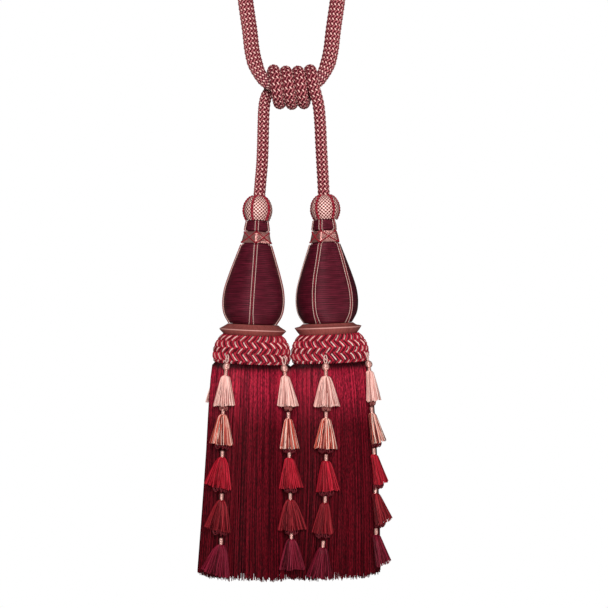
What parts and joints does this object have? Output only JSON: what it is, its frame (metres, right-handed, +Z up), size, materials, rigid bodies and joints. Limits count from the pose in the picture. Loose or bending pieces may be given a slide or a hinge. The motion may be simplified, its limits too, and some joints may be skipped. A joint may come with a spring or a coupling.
{
  "type": "curtain tieback tassel",
  "caption": "Tasselled curtain tieback: braided loop cord, wrapped knot, wound pear moulds with corded ribs, plaited collars, thread skirts and strings of small tassels.",
  "frame": {"origin": "where a wall hook bears, on the inside of the loop cord's crown", "axes": "+Z up along the hanging tieback, +X to the right as seen from the front, +Y away from the viewer"},
  "size_m": [0.1512, 0.0979, 0.5978],
  "materials": {
    "cord_braid": "braided rayon cord, rose and burgundy with pale dots",
    "ball_net": "fine knotted net of pale pink thread",
    "red_cord": "twisted crimson cord",
    "wound_silk": "burgundy silk wound side by side",
    "pale_satin": "pale pink satin thread",
    "rose_satin": "rose satin winding",
    "plait": "plaited crimson strands with pale bars",
    "skirt_thread": "fine crimson and burgundy threads",
    "drop_thread": "fine threads, from pale pink at the top to plum at the bottom"
  },
  "bodies": {
    "root": {"loop_cord": "cord_braid", "tassel_cord": "cord_braid", "left_ball": "ball_net", "left_ball_cord_1": "red_cord", "left_ball_cord_2": "red_cord", "left_ball_cord_3": "red_cord", "left_ball_cord_4": "red_cord", "left_ball_cord_5": "red_cord", "left_mould": "wound_silk", "left_rib_1": "pale_satin", "left_rib_2": "pale_satin", "left_rib_3": "pale_satin", "left_rib_4": "pale_satin", "left_rib_5": "pale_satin", "left_band": "pale_satin", "left_disc": "rose_satin", "left_collar": "plait", "left_skirt": "skirt_thread", "left_drops_1": "drop_thread", "left_drops_2": "drop_thread", "left_drops_3": "drop_thread", "left_drops_4": "drop_thread", "left_drops_5": "drop_thread", "right_ball": "ball_net", "right_ball_cord_1": "red_cord", "right_ball_cord_2": "red_cord", "right_ball_cord_3": "red_cord", "right_ball_cord_4": "red_cord", "right_ball_cord_5": "red_cord", "right_mould": "wound_silk", "right_rib_1": "pale_satin", "right_rib_2": "pale_satin", "right_rib_3": "pale_satin", "right_rib_4": "pale_satin", "right_rib_5": "pale_satin", "right_band": "pale_satin", "right_disc": "rose_satin", "right_collar": "plait", "right_skirt": "skirt_thread", "right_drops_1": "drop_thread", "right_drops_2": "drop_thread", "right_drops_3": "drop_thread", "right_drops_4": "drop_thread", "right_drops_5": "drop_thread"}
  },
  "joints": []
}
